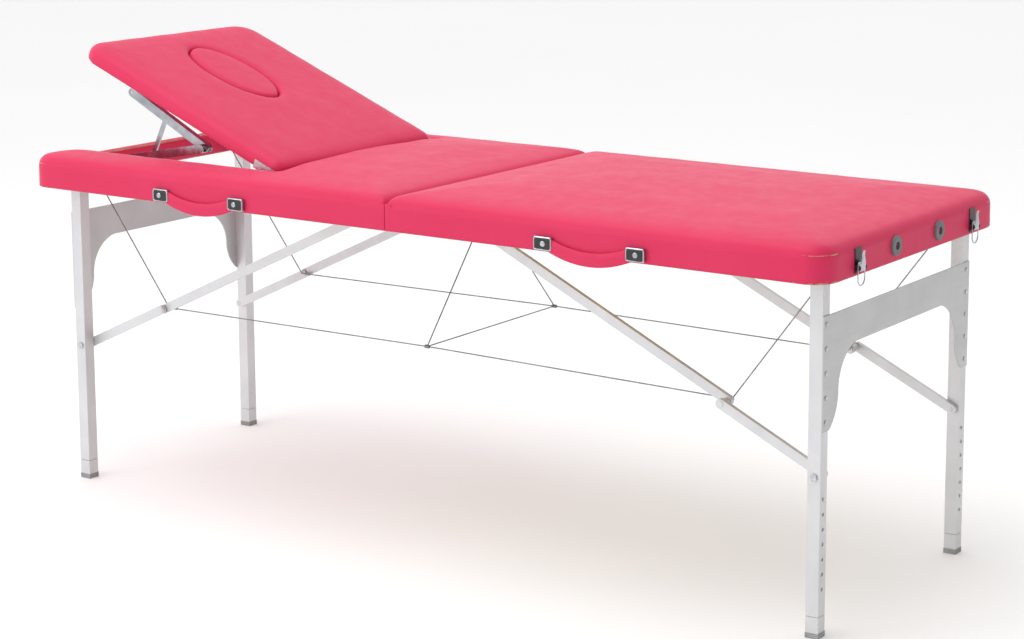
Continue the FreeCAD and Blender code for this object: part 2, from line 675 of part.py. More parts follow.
# ---- toggle latches on the foot end, keepers on the head end -----------------
latch_x = half_length + 7.5      # every latch pivot stands this far along
lever_pivot_z = 655.0
loop_pivot_z = 664.0
lever_top_z = 683.0
loop_bottom_z = 623.0
loop_half_width = 14.0
wire_radius = 1.25
keeper_shelf_z = 654.0
latch_bases = []
keepers = []
for row, side in (("front", -1), ("rear", 1)):
    y = side * latch_y
    base_parts = [
        box(half_length, half_length + 1.5, y - 12, y + 12, 645, 689),
        pin_y(latch_x, lever_pivot_z, y - 12.4, y + 12.4, 1.8),
    ]
    for hand in (-1, 1):
        a, b = y + hand * 10.5, y + hand * 12
        base_parts.append(box(half_length, latch_x, a, b, lever_pivot_z - 5, lever_pivot_z + 5))
        base_parts.append(pin_y(latch_x, lever_pivot_z, a, b, 5))
        base_parts.append(pin_x(y + hand * 7, 648.5, half_length + 1.4, half_length + 2.4, 2.4))
    latch_bases.append(join(base_parts))
    # The lever is a folded channel that stands shut against the plate.
    lever_parts = [
        box(latch_x + 2.9, latch_x + 4.4, y - 9.9, y + 9.9, lever_pivot_z, lever_top_z),
        pin_y(latch_x + 3.4, lever_top_z, y - 9.9, y + 9.9, 2.0),
    ]
    for hand in (-1, 1):
        a, b = y + hand * 8.4, y + hand * 9.9
        lever_parts.append(box(latch_x - 3.6, latch_x + 4.4, a, b, lever_pivot_z, loop_pivot_z + 4))
        lever_parts.append(pin_y(latch_x, lever_pivot_z, a, b, 4.4))
    lever = join(lever_parts)
    lever = lever.cut([pin_y(latch_x, lever_pivot_z, y - 12, y + 12, 1.8 + pin_clearance),
                       pin_y(latch_x, loop_pivot_z, y - 12, y + 12, wire_radius + 0.08)])
    save("latch_lever_" + row, [lever])
    # The wire loop hangs from the lever, clear of the plate.
    wires = [pin_y(latch_x, loop_bottom_z, y - loop_half_width, y + loop_half_width, wire_radius)]
    for hand in (-1, 1):
        y_leg = y + hand * loop_half_width
        wires.append(Part.makeCylinder(wire_radius, loop_pivot_z - loop_bottom_z,
                                       Vector(latch_x, y_leg, loop_bottom_z)))
        wires.append(pin_y(latch_x, loop_pivot_z, y_leg, y + hand * 8.0, wire_radius))
        for z in (loop_bottom_z, loop_pivot_z):
            wires.append(Part.makeSphere(wire_radius, Vector(latch_x, y_leg, z)))
    save("latch_loop_" + row, [join(wires)])
    keepers.append(mirror_x(join([
        box(half_length, half_length + 1.5, y - 10, y + 10, 644, 672),
        box(half_length + 1.4, half_length + 5.5, y - 8, y + 8, keeper_shelf_z, keeper_shelf_z + 1.4),
        box(half_length + 4.2, half_length + 5.5, y - 8, y + 8, keeper_shelf_z, keeper_shelf_z + 6),
        pin_x(y, 649, half_length + 1.4, half_length + 2.4, 2.4),
        pin_x(y, 667, half_length + 1.4, half_length + 2.4, 2.4),
    ])))
save("latch_bases", latch_bases)
save("latch_keepers", keepers)

# ---- centre hinges: knuckles on the fold axis, leaves let into the rails -------
knuckle_radius = 4.0
leaf_thickness = 1.6
leaf_reach = 20.0
segment = 12.0
hinge_rows = (-285.0, -100.0, 100.0, 285.0)
head_leaves = []
foot_leaves = []
hinge_pins = []
rail_cuts = []
for y_mid in hinge_rows:
    y_start = y_mid - 2.5 * segment
    rail_cuts.append(pin_y(0, fold_axis_z, y_start - 0.5, y_start + 5 * segment + 0.5,
                           knuckle_radius + 0.6))
    rail_cuts.append(box(-leaf_reach - 0.3, leaf_reach + 0.3, y_start - 0.5, y_start + 5 * segment + 0.5,
                         underside_z - 1, underside_z + leaf_thickness + 0.1))
    for index in range(5):
        y0 = y_start + index * segment + 0.25
        y1 = y0 + segment - 0.5
        direction = -1 if index % 2 == 0 else 1
        hole = 2.0 if direction < 0 else 2.05
        barrel = pin_y(0, fold_axis_z, y0, y1, knuckle_radius)
        leaf = box(direction * 1.0, direction * leaf_reach, y0, y1, underside_z,
                   underside_z + leaf_thickness)
        knuckle = join([barrel, leaf]).cut(pin_y(0, fold_axis_z, y0 - 1, y1 + 1, hole))
        (head_leaves if direction < 0 else foot_leaves).append(knuckle)
    hinge_pins.append(pin_y(0, fold_axis_z, y_start, y_start + 5 * segment, 2.0))
save("centre_hinge_head_leaves", head_leaves)
save("centre_hinge_foot_leaves", foot_leaves)
save("centre_hinge_pins", hinge_pins)
save("head_rim_rails", [rail.cut(rail_cuts) for rail in head_rails])
save("foot_rim_rails", [rail.cut(rail_cuts) for rail in foot_rails])
save("head_cover", [head_skin.cut(rail_cuts), end_wrap])
save("foot_cover", [foot_skin.cut(rail_cuts)])

# ---- tension cables -------------------------------------------------------------
mid_node_x = -4.0
crimp_radius = 4.5
crimp_reach = 3.2            # a cable ends this far from the middle of its crimp


def apex(side):
    """Where a front or rear cable is stapled under the middle cross rail."""
    return Vector(-12, side * 4, underside_z - cable_radius)


def cable(start, end, lead=0.0):
    """A straight run of steel rope that begins lead millimetres after start."""
    line = end.sub(start)
    begin = start.add(Vector(line).normalize().multiply(lead))
    return Part.makeCylinder(cable_radius, line.Length - lead, begin, line)


def leg_cable(x_sign, y, near, lead):
    """From the middle of the table to a brace knuckle, and on up to the leg's pivot pin."""
    knuckle = Vector(x_sign * knuckle_x, y, knuckle_z)
    anchor_x = x_sign * leg_x
    ring = pin_y(anchor_x, leg_hinge_z, y - 2.5, y + 2.5, 7.0)
    ring = ring.cut(pin_y(anchor_x, leg_hinge_z, y - 4, y + 4, 4.0))
    stop = Vector(anchor_x - x_sign * 3.4, y, leg_hinge_z - 4.5)
    eye = pin_y(knuckle.x, knuckle.z, y - 2.5, y + 2.5, 4.0)
    return join([cable(near, knuckle, lead), cable(knuckle, stop), ring, eye])


head_cables = []
foot_cables = []
for side in (-1, 1):
    node = Vector(mid_node_x, side * cable_node_y, cable_mid_z)
    foot_start = Vector(node.x + crimp_radius + 0.4, node.y, node.z)
    foot_y = side * (foot_leg_outer_y - foot_upper_inset - cable_stand_off)
    head_y = side * (head_leg_outer_y - head_upper_inset - cable_stand_off)
    foot_cables.append(leg_cable(1, foot_y, foot_start, 0.0))
    meeting = [leg_cable(-1, head_y, node, crimp_reach), cable(node, apex(side), crimp_reach)]
    cross = cable(node, Vector(mid_node_x, 0, cable_mid_z), crimp_reach)
    head_cables.extend(meeting)
    head_cables.append(Part.makeSphere(crimp_radius, node).cut(meeting + [cross]))
span_y = cable_node_y - crimp_reach
head_cables.append(pin_y(mid_node_x, cable_mid_z, -span_y, span_y, cable_radius))
save("head_cables", head_cables)
save("foot_cables", foot_cables)
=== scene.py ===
import bpy
import bmesh
import math
import numpy as np
from mathutils import Matrix, Vector


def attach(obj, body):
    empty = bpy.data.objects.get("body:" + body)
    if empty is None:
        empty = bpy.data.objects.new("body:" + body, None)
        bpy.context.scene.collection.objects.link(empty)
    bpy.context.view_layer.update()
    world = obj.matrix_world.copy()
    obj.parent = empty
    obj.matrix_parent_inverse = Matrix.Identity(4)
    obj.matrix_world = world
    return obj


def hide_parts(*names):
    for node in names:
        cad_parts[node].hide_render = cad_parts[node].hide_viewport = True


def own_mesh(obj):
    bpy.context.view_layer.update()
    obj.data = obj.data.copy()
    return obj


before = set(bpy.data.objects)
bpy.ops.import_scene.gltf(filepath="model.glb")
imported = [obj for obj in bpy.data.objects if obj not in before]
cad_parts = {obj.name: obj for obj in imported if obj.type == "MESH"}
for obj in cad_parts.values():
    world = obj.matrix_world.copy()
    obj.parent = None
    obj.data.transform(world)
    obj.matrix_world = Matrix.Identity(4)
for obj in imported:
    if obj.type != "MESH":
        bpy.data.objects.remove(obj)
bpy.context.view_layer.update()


# ---- foot half's pad -------------------------------------------------------------------
# The padded top of the foot half: foam glued on a plywood deck, with one sheet of
# pink imitation leather pulled over it, down the wooden rim and stapled underneath.
# The foam crowns towards the middle and rolls over at every edge.
rim_bottom = 0.640
deck_bottom = 0.690
pad_top = 0.728
half_length = 0.930
half_width = 0.350
centre_gap = 0.0006
case_corner = 0.045
seam_corner = 0.003
leather_thickness = 0.0014
crown_steps = (0.0, 0.0015, 0.004, 0.008, 0.014, 0.032, 0.063, 0.157, 0.350)
crown_drops = (0.0400, 0.0335, 0.0290, 0.0255, 0.0230, 0.0187, 0.0138, 0.0054, 0.0)


def slab_outline(x_low, x_high, y_half, low_radius, high_radius):
    """A rectangle's outline seen from above, anticlockwise, with its corners rounded."""
    points = []
    for x, y, radius, start in ((x_high, y_half, high_radius, 0), (x_low, y_half, low_radius, 90),
                                (x_low, -y_half, low_radius, 180), (x_high, -y_half, high_radius, 270)):
        cx = x - math.copysign(radius, x - (x_low + x_high) / 2)
        cy = y - math.copysign(radius, y)
        for step in range(13):
            angle = math.radians(start + 90 * step / 12)
            points.append((cx + radius * math.cos(angle), cy + radius * math.sin(angle)))
    return points


def piece_from(bm, name):
    """The drawn shape becomes a piece of the scene."""
    mesh = bpy.data.meshes.new(name)
    bm.to_mesh(mesh)
    bm.free()
    piece = bpy.data.objects.new(name, mesh)
    bpy.context.scene.collection.objects.link(piece)
    return piece


def block(name, outlines, z_low, z_high):
    """A closed upright block with the outlines' shape; a second outline is a hole through it."""
    bm = bmesh.new()
    edges = []
    for outline in outlines:
        ring = [bm.verts.new((x, y, z_low)) for x, y in outline]
        edges += [bm.edges.new((ring[i - 1], ring[i])) for i in range(len(ring))]
    bmesh.ops.triangle_fill(bm, edges=edges, use_beauty=True)
    raised = bmesh.ops.extrude_face_region(bm, geom=list(bm.faces))["geom"]
    bmesh.ops.translate(bm, vec=(0, 0, z_high - z_low),
                        verts=[v for v in raised if isinstance(v, bmesh.types.BMVert)])
    bmesh.ops.recalc_face_normals(bm, faces=list(bm.faces))
    return piece_from(bm, name)


def settle(piece):
    """The piece's modifiers are worked into its mesh."""
    ready = piece.evaluated_get(bpy.context.evaluated_depsgraph_get())
    mesh = bpy.data.meshes.new_from_object(ready)
    piece.modifiers.clear()
    piece.data = mesh


def fine_foam(piece, voxel):
    """The block gets an even mesh, fine enough to be rolled and crowned."""
    even = piece.modifiers.new("even", "REMESH")
    even.mode = "VOXEL"
    even.voxel_size = voxel
    settle(piece)


def points_of(piece):
    """The piece's points, one row of x, y and z for each."""
    spots = np.empty(len(piece.data.vertices) * 3)
    piece.data.vertices.foreach_get("co", spots)
    return spots.reshape(-1, 3)


def reach_from(spots, outline):
    """How far each spot is from the outline, seen from above."""
    touching = 1e-12
    nearest = np.full(len(spots), np.inf)
    for i in range(len(outline)):
        ax, ay = outline[i - 1]
        bx, by = outline[i]
        length_squared = (bx - ax) ** 2 + (by - ay) ** 2
        if length_squared < touching:
            continue
        share = ((spots[:, 0] - ax) * (bx - ax) + (spots[:, 1] - ay) * (by - ay)) / length_squared
        share = np.clip(share, 0, 1)
        gap = np.hypot(spots[:, 0] - ax - share * (bx - ax), spots[:, 1] - ay - share * (by - ay))
        nearest = np.minimum(nearest, gap)
    return nearest


def rumple(spots, size, seed):
    """A slow, uneven swell, from -1 to 1, that repeats nowhere on the pad."""
    x, y, z = (spots / size).T
    return (np.sin(1.7 * x + 2.3 * y + seed) * np.cos(1.1 * y - 1.9 * x + 2 * seed)
            + np.sin(2.9 * y + 0.7 * x + 1.3 * z + 3 * seed) * np.cos(2.1 * x + 1.7 * z)) / 2


def stretch_to(spots, crest, bottom, top):
    """Stretches a block's height, between its bottom and its top, so that it ends at the crest."""
    spots[:, 2] = bottom + (spots[:, 2] - bottom) * (crest - bottom) / (top - bottom)


def gather(spots, corner_x):
    """Small pleats where the leather is pulled round the two outer corners of the case."""
    pleat_depth = 0.0011
    pleats_round = 19
    pleat_height = 0.052
    margin = 0.012
    for corner_y in (-1, 1):
        dx = spots[:, 0] - (corner_x - math.copysign(case_corner, corner_x))
        dy = spots[:, 1] - corner_y * (half_width - case_corner)
        out = np.hypot(dx, dy)
        near = (dx * corner_x > -margin) & (dy * corner_y > -margin) & (out > case_corner - margin)
        angle = np.arctan2(dy * corner_y, np.abs(dx))
        height = np.clip((spots[:, 2] - rim_bottom) / pleat_height, 0, 1)
        wave = np.sin(pleats_round * angle + 5 * np.sin(7 * height))
        depth = (pleat_depth * near * wave * (1 - 0.6 * height)
                 * np.clip((angle + 0.2) * 3, 0, 1) * np.clip((1.77 - angle) * 3, 0, 1))
        reach = np.maximum(out, 1e-6)
        spots[:, 0] += depth * dx / reach
        spots[:, 1] += depth * dy / reach


def all_but_underside(middle, normal):
    """True for every face of a pad but those of its flat underside."""
    return not (middle.z < rim_bottom + 0.002 and normal.z < -0.5)


def reshape_pad(piece, spots, keep_face):
    """Puts the spots back, drops the faces that aren't covered, and evens out the mesh."""
    piece.data.vertices.foreach_set("co", spots.ravel())
    piece.data.update()
    bm = bmesh.new()
    bm.from_mesh(piece.data)
    gone = [face for face in bm.faces if not keep_face(face.calc_center_median(), face.normal)]
    bmesh.ops.delete(bm, geom=gone, context="FACES")
    rim = {v for edge in bm.edges if edge.is_boundary for v in edge.verts}
    for _ in range(3):
        bmesh.ops.smooth_vert(bm, verts=[v for v in bm.verts if v not in rim], factor=0.5,
                              use_axis_x=True, use_axis_y=True, use_axis_z=True)
    bm.to_mesh(piece.data)
    bm.free()


def line_with_cloth(piece):
    """Gives the cover its thickness, inwards, and smooth shading."""
    lining = piece.modifiers.new("lining", "SOLIDIFY")
    lining.thickness = leather_thickness
    lining.offset = -1
    settle(piece)
    piece.data.shade_smooth()


def blank_material(name):
    """A material whose nodes are made one by one; gives its nodes, links and shader."""
    material = bpy.data.materials.new(name)
    material.use_nodes = True
    nodes = material.node_tree.nodes
    return material, nodes, material.node_tree.links, nodes["Principled BSDF"]


def speckle(nodes, links, stretch, scale, detail=4.0):
    """Noise laid out in the table's own space; stretch is its closeness along x, y and z."""
    place = nodes.new("ShaderNodeTexCoord")
    shrink = nodes.new("ShaderNodeMapping")
    shrink.inputs["Scale"].default_value = stretch
    links.new(place.outputs["Object"], shrink.inputs["Vector"])
    grain = nodes.new("ShaderNodeTexNoise")
    grain.inputs["Scale"].default_value = scale
    grain.inputs["Detail"].default_value = detail
    links.new(shrink.outputs["Vector"], grain.inputs["Vector"])
    return grain.outputs["Fac"], shrink.outputs["Vector"]


def between(nodes, links, source, low, high, from_low=0.3, from_high=0.7):
    """A number that runs from low to high as the source does."""
    scale = nodes.new("ShaderNodeMapRange")
    scale.inputs["From Min"].default_value = from_low
    scale.inputs["From Max"].default_value = from_high
    scale.inputs["To Min"].default_value = low
    scale.inputs["To Max"].default_value = high
    links.new(source, scale.inputs["Value"])
    return scale.outputs["Result"]


def two_tone(nodes, links, source, dark, light, from_low=0.3, from_high=0.7):
    """A colour that runs between two tones as the source does."""
    ramp = nodes.new("ShaderNodeValToRGB")
    ramp.color_ramp.elements[0].position = from_low
    ramp.color_ramp.elements[0].color = (*dark, 1)
    ramp.color_ramp.elements[1].position = from_high
    ramp.color_ramp.elements[1].color = (*light, 1)
    links.new(source, ramp.inputs["Fac"])
    return ramp.outputs["Color"]


def relief(nodes, links, source, depth, strength, below=None):
    """Fine relief on a surface, depth in metres, over another relief if there is one."""
    bump = nodes.new("ShaderNodeBump")
    bump.inputs["Strength"].default_value = strength
    bump.inputs["Distance"].default_value = depth
    links.new(source, bump.inputs["Height"])
    if below is not None:
        links.new(below, bump.inputs["Normal"])
    return bump.outputs["Normal"]


def pink_leather():
    """Imitation leather: fine pebble grain, soft gloss, slightly deeper pink in patches."""
    material, nodes, links, shader = blank_material("pink_leather")
    cloud, _ = speckle(nodes, links, (1, 1, 1), 5.0)
    links.new(two_tone(nodes, links, cloud, (0.668, 0.027, 0.098), (0.692, 0.034, 0.110)),
              shader.inputs["Base Color"])
    scuff, _ = speckle(nodes, links, (1, 1, 1), 38.0)
    links.new(between(nodes, links, scuff, 0.42, 0.50), shader.inputs["Roughness"])
    _, place = speckle(nodes, links, (1, 1, 1), 1.0)
    pebble = nodes.new("ShaderNodeTexVoronoi")
    pebble.feature = "SMOOTH_F1"
    pebble.inputs["Scale"].default_value = 620.0
    links.new(place, pebble.inputs["Vector"])
    pull, _ = speckle(nodes, links, (1, 1, 1), 16.0)
    tension = relief(nodes, links, pull, 0.0012, 0.10)
    links.new(relief(nodes, links, pebble.outputs["Distance"], 0.00022, 0.30, tension),
              shader.inputs["Normal"])
    shader.inputs["Specular IOR Level"].default_value = 0.22
    return material


leather = pink_leather()


def finish_pad(piece, body, fill, *nodes):
    """The pad gets its cover, rides its body and stands for the CAD's foam and cover."""
    piece.data.materials.clear()
    piece.data.materials.append(leather)
    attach(piece, body)
    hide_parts(*nodes)


foam_grid = 0.006
foam_fill = 0.85
rumple_height = 0.0006
rumple_size = 0.055
rumple_margin = 0.05
foot_outline = slab_outline(centre_gap, half_length, half_width, seam_corner, case_corner)
foot_pad = block("foot_pad", [foot_outline], rim_bottom, pad_top)
fine_foam(foot_pad, foam_grid)
spots = points_of(foot_pad)
edge_reach = reach_from(spots, foot_outline)
crest = pad_top - np.interp(edge_reach, crown_steps, crown_drops)
crest += rumple_height * rumple(spots, rumple_size, 1.0) * np.clip(edge_reach / rumple_margin, 0, 1)
stretch_to(spots, crest, rim_bottom, pad_top)
gather(spots, half_length)
reshape_pad(foot_pad, spots, all_but_underside)
line_with_cloth(foot_pad)
finish_pad(foot_pad, "foot_half", foam_fill, "foot_foam", "foot_cover")


# ---- head half's pad -------------------------------------------------------------------
# The head half is a U of the same foam and leather: a block at the middle of the table
# and two arms beside the backrest. The leather turns down into the backrest's opening
# and ends under the deck; a lower wrapped rail closes the U at the head end.
notch_hinge_x = -0.335
notch_half_width = 0.260
notch_steps = (0.0, 0.002, 0.006, 0.012, 0.025, 0.060)
notch_drops = (0.0130, 0.0080, 0.0045, 0.0025, 0.0008, 0.0)
past_the_end = 0.1

case_outline = slab_outline(-half_length, -centre_gap, half_width, case_corner, seam_corner)
notch_outline = [(-half_length - past_the_end, notch_half_width),
                 (-half_length - past_the_end, -notch_half_width),
                 (notch_hinge_x, -notch_half_width), (notch_hinge_x, notch_half_width)]
head_outline = [point for point in case_outline
                if point[0] > -half_length + 1e-6 or abs(point[1]) > notch_half_width]
split = next(i for i in range(len(head_outline))
             if head_outline[i - 1][1] > 0 > head_outline[i][1] and head_outline[i][0] < -half_length / 2)
inside_the_u = [(-half_length, notch_half_width), (notch_hinge_x, notch_half_width),
                (notch_hinge_x, -notch_half_width), (-half_length, -notch_half_width)]
head_outline = head_outline[:split] + inside_the_u + head_outline[split:]
head_pad = block("head_pad", [head_outline], rim_bottom, pad_top)
fine_foam(head_pad, foam_grid)
spots = points_of(head_pad)
edge_reach = reach_from(spots, case_outline)
notch_reach = reach_from(spots, notch_outline)
crest = (pad_top - np.interp(edge_reach, crown_steps, crown_drops)
         - np.interp(notch_reach, notch_steps, notch_drops))
crest += rumple_height * rumple(spots, rumple_size, 2.4) * np.clip(edge_reach / rumple_margin, 0, 1)
stretch_to(spots, crest, rim_bottom, pad_top)


def head_covered(middle, normal):
    """True where the head half shows leather, False under it and low inside the opening."""
    margin = 0.004
    in_notch = abs(middle.y) < notch_half_width + margin and middle.x < notch_hinge_x + margin
    return all_but_underside(middle, normal) and not (in_notch and middle.z < deck_bottom)


gather(spots, -half_length)
reshape_pad(head_pad, spots, head_covered)
line_with_cloth(head_pad)
finish_pad(head_pad, "head_half", foam_fill, "head_foam")

# The wrapped rail at the head end, with its top edges rolled over.
wrap_grid = 0.004
wrap_fill = 1.0
wrap_depth = 0.024
wrap_corner = 0.002
wrap_top = deck_bottom - 0.0015
roll_drop = 0.0035
roll_reach = 0.006
wrap_outline = slab_outline(-half_length, -half_length + wrap_depth, notch_half_width - 0.0004,
                            wrap_corner, wrap_corner)
end_wrap = block("head_end_wrap", [wrap_outline], rim_bottom, wrap_top)
fine_foam(end_wrap, wrap_grid)
spots = points_of(end_wrap)
roll = np.clip(1 - reach_from(spots, wrap_outline) / roll_reach, 0, 1) ** 2
spots[:, 2] -= roll_drop * roll * (spots[:, 2] > wrap_top - 0.0085)
reshape_pad(end_wrap, spots, all_but_underside)
line_with_cloth(end_wrap)
finish_pad(end_wrap, "head_half", wrap_fill, "head_cover")

# The leather goes on under each arm and down the inner face of its rail, as a thin lining.
lining_ends = (-0.9045, -0.3370)
lining_steps = 60
lining_path = ((0.2594, 0.6985), (0.2593, 0.6895), (0.2606, 0.6882), (0.2900, 0.6886), (0.3200, 0.6882),
               (0.3270, 0.6870), (0.3288, 0.6830), (0.3290, 0.6650), (0.3288, 0.6420))
for side, name in ((-1, "front_arm_lining"), (1, "rear_arm_lining")):
    bm = bmesh.new()
    rows = []
    for step in range(lining_steps + 1):
        x = lining_ends[0] + (lining_ends[1] - lining_ends[0]) * step / lining_steps
        ripple = 0.0004 * math.sin(step * 0.9) * math.sin(step * 0.37)
        rows.append([bm.verts.new((x, side * (y - ripple), z + ripple)) for y, z in lining_path])
    for a, b in zip(rows, rows[1:]):
        for k in range(1, len(lining_path)):
            bm.faces.new((a[k - 1], a[k], b[k], b[k - 1]))
    bmesh.ops.recalc_face_normals(bm, faces=list(bm.faces))
    lining = piece_from(bm, name)
    cloth = lining.modifiers.new("thickness", "SOLIDIFY")
    cloth.thickness = 0.0007
    cloth.offset = 0
    settle(lining)
    lining.data.shade_smooth()
    lining.data.materials.append(leather)
    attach(lining, "head_half")


# ---- centre seam facings ---------------------------------------------------------------
# Where the halves meet, a strip of the same leather is folded round the end of each
# rim and stapled, so that no wood shows in the seam.
facing_face = 0.0007
facing_inner = 0.0019
facing_reach = 0.016
low, high = 0.3486, 0.3499
for side, name, body in ((-1, "head_seam_facing", "head_half"), (1, "foot_seam_facing", "foot_half")):
    facing_outline = [(side * facing_face, -high), (side * facing_reach, -high), (side * facing_reach, -low),
                      (side * facing_inner, -low), (side * facing_inner, low), (side * facing_reach, low),
                      (side * facing_reach, high), (side * facing_face, high)]
    facing = block(name, [facing_outline], rim_bottom + 0.0002, deck_bottom + 0.0012)
    turned_edge = facing.modifiers.new("turned_edge", "BEVEL")
    turned_edge.width = 0.0004
    turned_edge.segments = 3
    settle(facing)
    facing.data.shade_smooth()
    facing.data.materials.append(leather)
    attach(facing, body)


# ---- backrest pad ----------------------------------------------------------------------
# The adjustable backrest is a thinner pad with an oval hole for the face. It is foam on
# a plywood board under the same leather, and it tilts about a hinge on the head half.
backrest_end_x = -0.918
backrest_hinge_x = -0.345
backrest_half_width = 0.254
backrest_bottom = 0.692
backrest_pivot = Vector((-0.345, 0, 0.700))
backrest_angle = math.radians(22)
face_hole_x = -0.711
face_hole_half = (0.120, 0.065)
backrest_steps = (0.0, 0.002, 0.006, 0.014, 0.030, 0.060, 0.254)
backrest_drops = (0.0215, 0.0155, 0.0105, 0.0062, 0.0032, 0.0016, 0.0)
hole_steps = (0.0, 0.002, 0.005, 0.010, 0.022)
hole_drops = (0.0080, 0.0042, 0.0022, 0.0009, 0.0)
backrest_grid = 0.004
backrest_fill = 0.8


def oval(half_long, half_wide, steps=64):
    """An oval round the middle of the face hole, seen from above."""
    return [(face_hole_x + half_long * math.cos(2 * math.pi * i / steps),
             half_wide * math.sin(2 * math.pi * i / steps)) for i in range(steps)]


def raise_backrest(piece):
    """Turns a piece drawn flat up to the backrest's resting angle."""
    lift = (Matrix.Translation(backrest_pivot) @ Matrix.Rotation(backrest_angle, 4, "Y")
            @ Matrix.Translation(-backrest_pivot))
    piece.data.transform(lift)


backrest_outline = slab_outline(backrest_end_x, backrest_hinge_x, backrest_half_width, 0.055, 0.022)
hole_outline = oval(*face_hole_half)
backrest_pad = block("backrest_pad", [backrest_outline, hole_outline], backrest_bottom, pad_top)
fine_foam(backrest_pad, backrest_grid)
spots = points_of(backrest_pad)
crest = (pad_top - np.interp(reach_from(spots, backrest_outline), backrest_steps, backrest_drops)
         - np.interp(reach_from(spots, hole_outline), hole_steps, hole_drops))
crest += 0.0005 * rumple(spots, 0.045, 4.1)
stretch_to(spots, crest, backrest_bottom, pad_top)
reshape_pad(backrest_pad, spots, lambda middle, normal: True)
line_with_cloth(backrest_pad)
raise_backrest(backrest_pad)
finish_pad(backrest_pad, "backrest", backrest_fill, "backrest_foam", "backrest_cover")


# ---- face-hole plug --------------------------------------------------------------------
# A loose oval cushion that fills the face hole and lifts out by hand. It has its own
# leather cover, gathered over a rounded edge, so a groove shows all round it.
plug_half = (0.1186, 0.0636)
plug_grid = 0.003
plug_fill = 0.8
plug_bottom = 0.694
plug_top = 0.7285
plug_steps = (0.0, 0.001, 0.003, 0.006, 0.012, 0.030, 0.064)
plug_drops = (0.0100, 0.0062, 0.0036, 0.0020, 0.0011, 0.0005, 0.0)

plug_outline = oval(*plug_half)
face_cushion = block("face_plug_cushion", [plug_outline], plug_bottom, plug_top)
fine_foam(face_cushion, plug_grid)
spots = points_of(face_cushion)
crest = plug_top - np.interp(reach_from(spots, plug_outline), plug_steps, plug_drops)
stretch_to(spots, crest, plug_bottom, plug_top)
reshape_pad(face_cushion, spots, lambda middle, normal: True)
face_cushion.data.shade_smooth()
raise_backrest(face_cushion)
finish_pad(face_cushion, "face_plug_piece", plug_fill, "face_plug")


# ---- plywood decks ---------------------------------------------------------------------
# A 6 mm birch plywood board closes the top of each half and carries the foam, and a
# thinner one does so in the backrest. The figure of the birch runs along the table.
board_set_in = 0.006
board_thickness = 0.006
notch_clearance = 0.003
seam_side_corner = 0.008


def birch_plywood():
    """Pale birch with a long figure and a dry, fibrous face."""
    material, nodes, links, shader = blank_material("birch_plywood")
    figure, _ = speckle(nodes, links, (4, 45, 260), 2.2, 6.0)
    links.new(two_tone(nodes, links, figure, (0.46, 0.31, 0.17), (0.66, 0.50, 0.32)),
              shader.inputs["Base Color"])
    fibre, _ = speckle(nodes, links, (20, 600, 900), 1.0)
    links.new(between(nodes, links, fibre, 0.52, 0.72), shader.inputs["Roughness"])
    links.new(relief(nodes, links, fibre, 0.0003, 0.35), shader.inputs["Normal"])
    return material


plywood = birch_plywood()


def deck(name, outlines, node, body, low, high, turn=None):
    """A plywood board with eased edges, just inside the leather."""
    board = block(name, outlines, low, high)
    if turn:
        turn(board)
    eased = board.modifiers.new("eased", "BEVEL")
    eased.width = 0.0008
    eased.segments = 2
    settle(board)
    board.data.materials.append(plywood)
    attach(board, body)
    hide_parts(node)


board_top = deck_bottom + board_thickness
deck("foot_deck",
     [slab_outline(centre_gap + board_set_in, half_length - board_set_in,
                   half_width - board_set_in, seam_side_corner, case_corner - board_set_in)],
     "foot_deck_board", "foot_half", deck_bottom, board_top)
arm_inner = notch_half_width + notch_clearance
arm_root = notch_hinge_x + notch_clearance
head_deck_outline = [(-half_length + board_set_in, arm_inner), (arm_root, arm_inner),
                     (arm_root, -arm_inner), (-half_length + board_set_in, -arm_inner)]
head_deck_corners = slab_outline(-half_length + board_set_in, -centre_gap - board_set_in,
                                 half_width - board_set_in, case_corner - board_set_in,
                                 seam_side_corner)
head_deck_outline += [point for point in head_deck_corners if point[1] < 0]
head_deck_outline += [point for point in head_deck_corners if point[1] > 0]
deck("head_deck", [head_deck_outline], "head_deck_board", "head_half", deck_bottom, board_top)
deck("backrest_inner_board",
     [slab_outline(backrest_end_x + board_set_in, backrest_hinge_x - board_set_in,
                   backrest_half_width - board_set_in, 0.049, 0.016),
      oval(face_hole_half[0] + board_set_in, face_hole_half[1] + board_set_in)],
     "backrest_board", "backrest", backrest_bottom + 0.0016, backrest_bottom + 0.0060,
     raise_backrest)


# ---- wooden rim ------------------------------------------------------------------------
# Beech rails glued and screwed under each deck make the case's rim and carry every
# hinge. They are planed and sealed, with the grain along the table.
def beech_timber():
    """Warm beech with close, straight grain and open pores."""
    material, nodes, links, shader = blank_material("beech_timber")
    figure, _ = speckle(nodes, links, (3, 60, 60), 1.6, 7.0)
    links.new(two_tone(nodes, links, figure, (0.40, 0.22, 0.11), (0.60, 0.38, 0.22)),
              shader.inputs["Base Color"])
    pores, _ = speckle(nodes, links, (40, 900, 900), 1.0)
    links.new(between(nodes, links, pores, 0.40, 0.62), shader.inputs["Roughness"])
    links.new(relief(nodes, links, pores, 0.0003, 0.3), shader.inputs["Normal"])
    return material


def finish_parts(material, *names):
    """Puts a finish on CAD parts as they stand."""
    for name in names:
        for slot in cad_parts[name].material_slots:
            slot.material = material


finish_parts(beech_timber(), "head_rim_rails", "foot_rim_rails")


